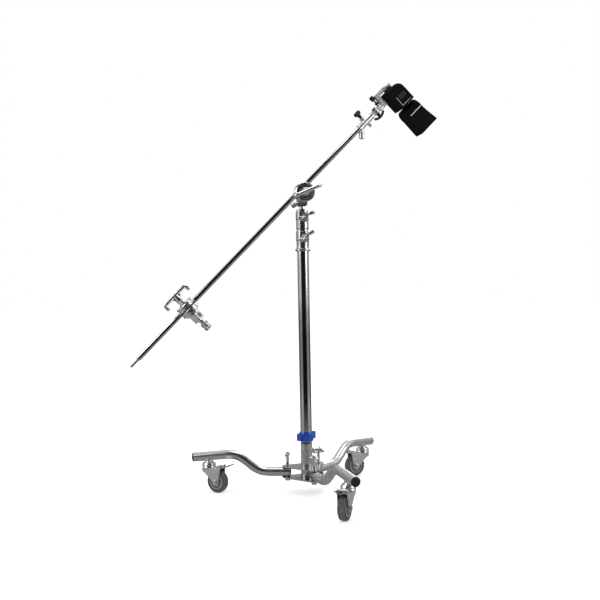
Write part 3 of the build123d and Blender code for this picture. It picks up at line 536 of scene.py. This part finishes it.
CASTERS = ("left", "rear", "front")
LEG_X = {}
CASTER_X = {}
for side in CASTERS:
    pivot = Vector(joints[f"leg_{side}_swing"]["pos_m"])
    LEG_X[side] = Vector((pivot.x, pivot.y, 0)).normalized()
    swivel = Vector(joints[f"swivel_{side}_turn"]["pos_m"])
    axle = Vector(joints[f"wheel_{side}_roll"]["pos_m"])
    CASTER_X[side] = Vector((axle.x - swivel.x, axle.y - swivel.y, 0)).normalized()

black_plastic = moulded_plastic("black_plastic", grey(0.006), 0.4, shine=0.3)
flash_shell = moulded_plastic("flash_shell", grey(0.0018), 0.5, 1400.0, 0.16, 0.05)
wheel_core = moulded_plastic("wheel_core", grey(0.17), 0.38, 700.0)
zinc = zinc_pressing("zinc_pressing", COLUMN)
column_chrome = chromed_tube("column_chrome", COLUMN)
column_casting = plated_casting("column_casting", COLUMN)
rod_along = ROD @ Matrix.Rotation(math.radians(90), 4, "Y")
head_turned = turned_metal("head_turned", HEAD, 0.62)
clamp_turned = turned_metal("clamp_turned", CLAMP, 0.8)
head_casting = plated_casting("head_casting", HEAD)
clamp_casting = plated_casting("clamp_casting", CLAMP, 0.8)
bracket_casting = plated_casting("bracket_casting", ROD, 0.9, 0.34)

for side in CASTERS:
    tube_place = directions((0, 0, 0), LEG_X[side], (0, 0, 1))
    give(f"leg_tube_{side}", chromed_tube(f"leg_chrome_{side}", tube_place, 0.66, 0.24))
    give(f"leg_end_cap_{side}", black_plastic)
    give(f"leg_caster_stem_{side}", zinc)
    give(f"caster_fork_{side}", zinc)
    give(f"wheel_axle_{side}", zinc)
    wheel_place = at_joint(f"wheel_{side}_roll")
    give(f"wheel_tyre_{side}", tyre_rubber(f"tyre_rubber_{side}", wheel_place))
    give(f"wheel_hub_{side}", wheel_core)
    pedal_place = directions(joints[f"pedal_{side}_press"]["pos_m"], (0, 0, 1), CASTER_X[side])
    give(f"brake_pedal_{side}", zinc_pressing(f"dipped_pedal_{side}", pedal_place, 30))
    lock_place = at_joint(f"leg_lock_{side}_turn", LEG_X[side])
    give(f"leg_lock_{side}", turned_metal(f"lock_turned_{side}", lock_place, 0.75))

for name in ("column_tube", "middle_tube", "top_tube"):
    give(name, column_chrome)
for name in ("hub_top_plate", "hub_bottom_plate", "lower_collar", "upper_collar"):
    give(name, column_casting)
for name in ("socket_screw", "lower_collar_screw", "upper_collar_screw"):
    give(name, turned_metal(f"{name}_metal", at_joint(f"{name}_turn"), 0.75))
give("quick_release_ring", anodised_blue("anodised_blue"))
give("boom_rod", chromed_tube("rod_chrome", rod_along, 0.58, 0.06))
give("head_receiver", head_casting)
give("head_stud_screw", turned_metal("stud_screw_metal", at_joint("head_stud_screw_turn")))
for name in ("head_inner_disc", "head_outer_disc"):
    give(name, head_turned)
give("head_t_handle", plated_casting("head_handle_metal", HEAD, 0.8, 0.2))
for name in ("clamp_inner_disc", "clamp_outer_disc", "clamp_screw"):
    give(name, clamp_turned)
give("clamp_receiver", clamp_casting)
give("clamp_t_handle", plated_casting("clamp_handle_metal", CLAMP, 0.85, 0.22))
for name in ("bracket_clamp", "bracket_swivel", "bracket_shoe"):
    give(name, bracket_casting)
for name in ("bracket_clamp_knob", "bracket_tilt_knob", "bracket_shoe_knob"):
    give(name, black_plastic)
for name in ("flash_body", "flash_neck", "flash_head"):
    give(name, flash_shell)
give("flash_lens", lens_plastic("flash_lens"))

# %% [markdown]
# ### The socket's band of painted shade
# The gap under the blue ring is painted in as shade: a thin dark band on the socket, in the socket's own
# finish, put on by a mask on height. A separate ring would be hidden except for this edge.


# %% Socket finish
def banded_socket(name, low_mm, high_mm):
    finish = Finish(name)
    local = finish.coordinates()
    height = finish.part(local, "Z")
    # painted shade: this dark, non-metal band stands in for the shadow in the gap under the blue ring
    band = (height > low_mm * MM) * (height < high_mm * MM)
    sand = finish.noise(local, 1300.0, 3.0, 0.65)
    cloud = finish.ramp(finish.noise(local, 55.0, 3.0), (0.36, 0.0), (0.66, 1.0))
    bare = finish.mix(cloud, grey(0.62, 0.01), grey(0.5, 0.02))
    finish.feed("Base Color", finish.mix(band, bare, grey(0.02)))
    finish.feed("Metallic", 1.0 - band)
    finish.feed("Roughness", 0.2 + cloud * 0.1 + sand * 0.05 + band * 0.2)
    finish.feed("Normal", finish.bump(sand, 0.16, 0.12, finish.soft_edges(0.8)))
    return finish.material


give("column_socket", banded_socket("banded_socket", 163.5, 169.0))
print("finishes given to", sum(1 for node in nodes.values() if node.data.materials), "nodes")

# %% [markdown]
# ## Things that repeat
# A knurl, a ring of jaw teeth, the ribs of a wheel and the ribs of a dial are the same idea: one small bar,
# copied round a ring. Geometry Nodes say that once, with named inputs for the sizes. Copying objects in a
# loop would work too, but leaves hundreds of objects and no way to change the count later.
# Recipe builds such a tree, and cook turns it into a plain mesh that rides on a body.


# %% Recipe
SOCKET_KINDS = {int: "NodeSocketInt", float: "NodeSocketFloat", tuple: "NodeSocketVector"}


class Recipe(Graph):
    """A Geometry Nodes tree whose named inputs have starting values."""

    def __init__(self, name, **starting):
        super().__init__(bpy.data.node_groups.new(name, "GeometryNodeTree"))
        face = self.tree.interface
        face.new_socket(name="Geometry", in_out="OUTPUT", socket_type="NodeSocketGeometry")
        for label, value in starting.items():
            socket = face.new_socket(name=label, in_out="INPUT", socket_type=SOCKET_KINDS[type(value)])
            socket.default_value = value
        face.new_socket(name="finish", in_out="INPUT", socket_type="NodeSocketMaterial")
        self.inlet = self.tree.nodes.new("NodeGroupInput")

    def given(self, label):
        return Link(self, self.inlet.outputs[label])

    def serve(self, shape):
        """Instances become real faces with the finish on them, and leave the tree."""
        real = self.node("GeometryNodeRealizeInstances", values={"Geometry": shape})
        painted = self.node(
            "GeometryNodeSetMaterial", values={"Geometry": real, "Material": self.given("finish")}
        )
        outlet = self.tree.nodes.new("NodeGroupOutput")
        self.tree.links.new(painted.socket, outlet.inputs["Geometry"])


def cook(recipe, finish, place, **sizes):
    """The recipe's mesh with these sizes, moved to its place."""
    holder = bpy.data.objects.new("holder", bpy.data.meshes.new("holder"))
    scene.collection.objects.link(holder)
    modifier = holder.modifiers.new("recipe", "NODES")
    modifier.node_group = recipe.tree
    wanted = dict(sizes, finish=finish)
    for item in recipe.tree.interface.items_tree:
        if item.in_out == "INPUT" and item.name in wanted:
            modifier[item.identifier] = wanted[item.name]
    ready = holder.evaluated_get(bpy.context.evaluated_depsgraph_get())
    mesh = bpy.data.meshes.new_from_object(ready)
    bpy.data.objects.remove(holder)
    mesh.transform(place)
    return mesh


def piece(name, body, meshes):
    """One object from several meshes, riding on a body."""
    shape = bmesh.new()
    for mesh in meshes:
        shape.from_mesh(mesh)
    bmesh.ops.recalc_face_normals(shape, faces=shape.faces)
    joined = bpy.data.meshes.new(name)
    shape.to_mesh(joined)
    shape.free()
    for material in meshes[0].materials:
        joined.materials.append(material)
    thing = bpy.data.objects.new(name, joined)
    scene.collection.objects.link(thing)
    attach(thing, body)
    print(name, len(joined.polygons), "faces")
    return thing


# %% [markdown]
# ### Ring of ridges
# A ridge is a short prism. Its axis lies along the ring's axis for a knurl, and points outwards for teeth
# and wheel ribs: the lean input turns it. Ridges that would hang over a groove are left out by their y.


# %% Ring of ridges
ridges = Recipe(
    "ring_of_ridges", count=24, ring_radius=0.01,
    ridge_radius=0.0005, ridge_length=0.01, sides=4, lean=0.0,
    groove_y=1.0, groove_half=0.0, second_groove_y=1.0, second_groove_half=0.0,
)
ring_sizes = {"Vertices": ridges.given("count"), "Radius": ridges.given("ring_radius")}
around = ridges.node("GeometryNodeMeshCircle", values=ring_sizes)
spot_y = ridges.node(
    "ShaderNodeSeparateXYZ", values={0: ridges.node("GeometryNodeInputPosition")}, output="Y"
)


def inside_groove(middle, half):
    away = ridges.node("ShaderNodeMath", {"operation": "ABSOLUTE"}, {0: spot_y - ridges.given(middle)})
    return away < ridges.given(half)


hanging = inside_groove("groove_y", "groove_half") + inside_groove("second_groove_y", "second_groove_half")
turn = ridges.node("GeometryNodeInputIndex") * (2 * math.pi) / ridges.given("count")
kept = ridges.node(
    "GeometryNodeDeleteGeometry", {"domain": "POINT"}, {"Geometry": around, "Selection": hanging > 0.5}
)
turn_store = ridges.node(
    "GeometryNodeStoreNamedAttribute", {"data_type": "FLOAT", "domain": "POINT"},
    {"Geometry": around, "Name": "turn", "Value": turn},
)
ridges.tree.links.new(turn_store.socket, kept.socket.node.inputs["Geometry"])
kept_turn = ridges.node("GeometryNodeInputNamedAttribute", {"data_type": "FLOAT"}, {"Name": "turn"})
bar = ridges.node(
    "GeometryNodeMeshCylinder",
    values={"Vertices": ridges.given("sides"), "Radius": ridges.given("ridge_radius"),
            "Depth": ridges.given("ridge_length")},
)
leaning = ridges.node("ShaderNodeCombineXYZ", values={"Y": ridges.given("lean")})
bar = ridges.node("GeometryNodeTransform", values={"Geometry": bar, "Rotation": leaning})
facing = ridges.node("ShaderNodeCombineXYZ", values={"Z": kept_turn})
ridges.serve(ridges.node(
    "GeometryNodeInstanceOnPoints", values={"Points": kept, "Instance": bar, "Rotation": facing}
))

# %% [markdown]
# ### Ring of beads, row of bars and thread
# A weld is a ring of overlapping flattened beads. A row of bars makes lens ribs, treads and vents. A thread
# is one thin triangle swept along a helix, which is what the cutting tool does.

# %% Ring of beads
beads = Recipe("ring_of_beads", count=40, ring_radius=0.02, bead_radius=0.002, squash=(1.0, 1.0, 0.6))
ball = beads.node("GeometryNodeMeshUVSphere", values={"Segments": 10, "Rings": 7,
                                                      "Radius": beads.given("bead_radius")})
spots = beads.node(
    "GeometryNodeMeshCircle", values={"Vertices": beads.given("count"), "Radius": beads.given("ring_radius")}
)
bead_turn = beads.node("GeometryNodeInputIndex") * (2 * math.pi) / beads.given("count")
bead_facing = beads.node("ShaderNodeCombineXYZ", values={"Z": bead_turn})
beads.serve(beads.node(
    "GeometryNodeInstanceOnPoints",
    values={"Points": spots, "Instance": ball, "Rotation": bead_facing, "Scale": beads.given("squash")},
))

# %% Row of bars
bars = Recipe("row_of_bars", count=8, pitch=0.002, bar_radius=0.0006, bar_length=0.02, sides=6, flatness=1.0)
first_x = (bars.given("count") - 1.0) * bars.given("pitch") * -0.5
line = bars.node(
    "GeometryNodeMeshLine", values={
        "Count": bars.given("count"),
        "Start Location": bars.node("ShaderNodeCombineXYZ", values={"X": first_x}),
        "Offset": bars.node("ShaderNodeCombineXYZ", values={"X": bars.given("pitch")}),
    })
one_bar = bars.node(
    "GeometryNodeMeshCylinder",
    values={"Vertices": bars.given("sides"), "Radius": bars.given("bar_radius"),
            "Depth": bars.given("bar_length")},
)
lying = bars.node("GeometryNodeTransform", values={"Geometry": one_bar, "Rotation": (math.pi / 2, 0.0, 0.0)})
thin = bars.node("ShaderNodeCombineXYZ", values={"X": 1.0, "Y": 1.0, "Z": bars.given("flatness")})
lying = bars.node("GeometryNodeTransform", values={"Geometry": lying, "Scale": thin})
bars.serve(bars.node("GeometryNodeInstanceOnPoints", values={"Points": line, "Instance": lying}))

# %% Thread
thread = Recipe("thread", turns=6.0, core_radius=0.004, length=0.008, depth=0.0006)
helix = thread.node(
    "GeometryNodeCurveSpiral",
    values={"Resolution": 20, "Rotations": thread.given("turns"), "Start Radius": thread.given("core_radius"),
            "End Radius": thread.given("core_radius"), "Height": thread.given("length")},
)
tooth = thread.node("GeometryNodeCurvePrimitiveCircle", values={"Resolution": 4,
                                                                "Radius": thread.given("depth")})
thread.serve(thread.node(
    "GeometryNodeCurveToMesh", values={"Curve": helix, "Profile Curve": tooth, "Fill Caps": True}
))

# %% [markdown]
# ## Jaw teeth of the two grip heads
# The faces that bite the rod are serrated, so that a heavy boom can't turn. Only their outer ends show in the
# gap between the discs. The teeth leave out the two grooves that hold a thick and a thin rod.

# %% Teeth
GAP_HALF = 2.0
TEETH = dict(count=54, ring_radius=28.4 * MM, ridge_radius=0.75 * MM, ridge_length=6.4 * MM, sides=4,
             lean=math.pi / 2, groove_y=ROD_RAISE * MM, groove_half=8.6 * MM,
             second_groove_y=-ROD_RAISE * MM, second_groove_half=5.4 * MM)
for label, place, body, metal in (("head", HEAD, "head_discs", head_turned),
                                  ("clamp", CLAMP, "clamp_discs", clamp_turned)):
    faces = [cook(ridges, metal, place @ shift(z=z), **TEETH) for z in (-GAP_HALF, GAP_HALF)]
    piece(f"{label}_jaw_teeth", body, faces)

# %% [markdown]
# ## Knurls
# Fingers need grip on the two round screws, on the lock ring of the flash and on the shoe's knob. A straight
# knurl is a ring of ridges, as long as the band that carries it.


# %% Knurls
def knurl(metal, place, knob_mm, start_mm, end_mm, count, ridge_mm=0.7):
    middle = (start_mm + end_mm) / 2
    return cook(ridges, metal, place @ shift(z=middle), count=count, ring_radius=(knob_mm / 2 - 0.15) * MM,
                ridge_radius=ridge_mm * MM, ridge_length=(end_mm - start_mm) * MM, sides=4)


KNOB_FOOT = -66.7
screw_bands = [knurl(clamp_turned, CLAMP, 25, KNOB_FOOT - low, KNOB_FOOT - high, 48)
               for high, low in ((1.8, 11.0), (16.0, 24.6))]
piece("clamp_screw_knurl", "clamp_screw", screw_bands)

STUD_SCREW = at_joint("head_stud_screw_turn") @ shift(z=-10)
stud_metal = nodes["head_stud_screw"].data.materials[0]
stud_bands = [knurl(stud_metal, STUD_SCREW, 17, low, high, 36, 0.55)
              for low, high in ((16.6, 20.3), (22.7, 25.8))]
piece("head_stud_screw_knurl", "head_stud_screw", stud_bands)

FLASH_S = 455.0
BODY_S = 460.0
ACROSS = ROD @ Matrix.Rotation(math.radians(-90), 4, "X")
lock_band = knurl(bracket_casting, ACROSS @ shift(x=FLASH_S), 30, 20.3, 25.6, 30, 0.8)
piece("flash_lock_ring_ribs", "flash_body", [lock_band])

shoe_band = knurl(bracket_casting, ACROSS @ shift(x=FLASH_S), 34, 30.0, 37.5, 34, 0.9)
piece("shoe_ribs", "shoe", [shoe_band])

SHOE_KNOB_S = 391.0
knob_band = knurl(black_plastic, ACROSS @ shift(x=SHOE_KNOB_S), 14, 31.5, 43.5, 18, 0.6)
piece("shoe_knob_ribs", "shoe_knob", [knob_band])

# %% [markdown]
# ## Threads
# A short length of thread shows between each T-bar and the lug it is screwed into. Without it the screws
# look like plain pins.

# %% Threads
for name, shank_mm, low, high in (("socket_screw", 7.0, 5.0, 15.5), ("lower_collar_screw", 8.0, 0.5, 2.8),
                                  ("upper_collar_screw", 8.0, 0.5, 2.8)):
    metal = nodes[name].data.materials[0]
    where = at_joint(f"{name}_turn") @ shift(z=low)
    ridge = cook(thread, metal, where, turns=(high - low) / 1.25, core_radius=shank_mm / 2 * MM,
                 length=(high - low) * MM, depth=0.55 * MM)
    piece(f"{name}_thread", name, [ridge])

# %% [markdown]
# ## Weld beads of the hub
# The socket tube is welded to both hub plates. A weld is a ring of small overlapping beads, duller than the
# plating around it.

# %% Welds
SOCKET_R = 19.0
top_plate = [height / MM for height in (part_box("hub_top_plate")[0][2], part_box("hub_top_plate")[1][2])]
low_plate = [height / MM for height in (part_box("hub_bottom_plate")[0][2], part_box("hub_bottom_plate")[1][2])]
weld_metal = plated_casting("weld_metal", COLUMN, 0.5, 0.32)
welds = [cook(beads, weld_metal, shift(z=z), count=56, ring_radius=SOCKET_R * MM, bead_radius=1.9 * MM)
         for z in (top_plate[1], low_plate[0])]
piece("socket_welds", "base", welds)

# %% [markdown]
# ## Wheels and pedals
# The wheel core is a moulding with ribs from its boss to its rim. The pedal's toe has raised treads so that a
# shoe doesn't slip off it.

# %% Wheel ribs and pedal treads
WEB_FACE = 5.0
for side in CASTERS:
    wheel_place = at_joint(f"wheel_{side}_roll")
    ribs = [cook(ridges, wheel_core, wheel_place @ shift(z=z), count=10, ring_radius=15.8 * MM,
                 ridge_radius=1.5 * MM, ridge_length=11.5 * MM, sides=8, lean=math.pi / 2)
            for z in (-WEB_FACE, WEB_FACE)]
    piece(f"wheel_ribs_{side}", f"wheel_{side}", ribs)

    pin = directions(joints[f"pedal_{side}_press"]["pos_m"], (0, 0, 1), CASTER_X[side])
    toe = pin @ shift(x=30, z=4.8) @ Matrix.Rotation(math.radians(-28.4), 4, "Y")
    treads = cook(bars, nodes[f"brake_pedal_{side}"].data.materials[0], toe, count=4, pitch=2.8 * MM,
                  bar_radius=0.7 * MM, bar_length=17 * MM)
    piece(f"pedal_treads_{side}", f"pedal_{side}", [treads])

# %% [markdown]
# ## Flash unit
# The flash has a ribbed lens, a recessed control panel with a raised edge strip whose light grey is a painted
# highlight, keys, a dial, and a thin bright line across its head. The small plates are drawn as outlines and
# given thickness with rounded rims by bmesh, because each has its own outline and none repeats.


# %% Plate helper
def plate(outline, z_mm, thick_mm, rim_mm=0.25):
    """A flat plate in the rod's x and y, with its rim bevelled."""
    shape = bmesh.new()
    low = [shape.verts.new((x * MM, y * MM, z_mm * MM)) for x, y in outline]
    shape.faces.new(low)
    raised = bmesh.ops.extrude_face_region(shape, geom=shape.faces[:])
    top = [item for item in raised["geom"] if isinstance(item, bmesh.types.BMVert)]
    bmesh.ops.translate(shape, verts=top, vec=(0, 0, thick_mm * MM))
    rim = [edge for edge in shape.edges if all(vert in top for vert in edge.verts)]
    bmesh.ops.bevel(shape, geom=rim, offset=rim_mm * MM, segments=2, affect="EDGES")
    bmesh.ops.recalc_face_normals(shape, faces=shape.faces)
    mesh = bpy.data.meshes.new("plate")
    shape.to_mesh(mesh)
    shape.free()
    mesh.transform(ROD)
    return mesh


def rounded(x_mm, y_mm, wide, high, corner, steps=5):
    """Outline of a rounded rectangle."""
    points = []
    for turn_index, (sx, sy) in enumerate(((1, 1), (-1, 1), (-1, -1), (1, -1))):
        for step in range(steps + 1):
            angle = math.radians(90 * turn_index + 90 * step / steps)
            points.append((x_mm + sx * (wide / 2 - corner) + corner * math.cos(angle),
                           y_mm + sy * (high / 2 - corner) + corner * math.sin(angle)))
    return points


def with_finish(meshes, material):
    for mesh in meshes:
        mesh.materials.clear()
        mesh.materials.append(material)
    return meshes


# %% Lens ribs
lens_low = -162.6
lens_place = ROD @ shift(x=BODY_S + 4, y=lens_low) @ Matrix.Rotation(math.radians(90), 4, "X")
ribs = cook(bars, nodes["flash_lens"].data.materials[0], lens_place, count=34, pitch=2.0 * MM,
            bar_radius=0.95 * MM, bar_length=48 * MM, sides=8, flatness=0.5)
piece("flash_lens_ribs", "flash_head", [ribs])

# %% Control panel
PANEL_Z = 28.8
screen_glass = moulded_plastic("screen_glass", (0.012, 0.013, 0.015, 1.0), 0.3, 500.0, 0.02, 0.2)
silver_paint = moulded_plastic("silver_paint", grey(0.5), 0.3, 900.0, 0.1)
# painted highlight: this light grey on the black flash stands in for the light caught by the panel's bevelled
# edge
fold_paint = moulded_plastic("fold_paint", grey(0.16), 0.35, 900.0, 0.1)
screen = plate(rounded(466, -23, 30, 17, 2.5), PANEL_Z, 0.8)
piece("flash_screen", "flash_body", with_finish([screen], screen_glass))
keys = [plate(rounded(454 + 7.5 * place, -39, 5.4, 3.6, 1.6), PANEL_Z, 1.0) for place in range(4)]
keys.append(plate(rounded(478, -45.0, 8, 8, 3.99, 8), PANEL_Z, 1.1))
piece("flash_keys", "flash_body", with_finish(keys, flash_shell))
# outline of the raised edge strip; the strip is real, its lighter grey is a painted highlight
FOLD = [(443.0, -15.0), (445.6, -15.0), (443.6, -47.6), (484.0, -48.8), (484.0, -50.6), (440.6, -50.6)]
fold = plate(FOLD, PANEL_Z, 1.1, 0.3)
piece("flash_panel_highlight_strip", "flash_body", with_finish([fold], fold_paint))
HEAD_FACE_Z = 27.2
stripe = plate([(438, -93.4), (490, -93.4), (490, -91.4), (438, -91.4)], HEAD_FACE_Z - 0.1, 0.5, 0.12)
piece("flash_head_line", "flash_head", with_finish([stripe], silver_paint))

# %% [markdown]
# ## Done

# %% Finish
bpy.context.view_layer.update()
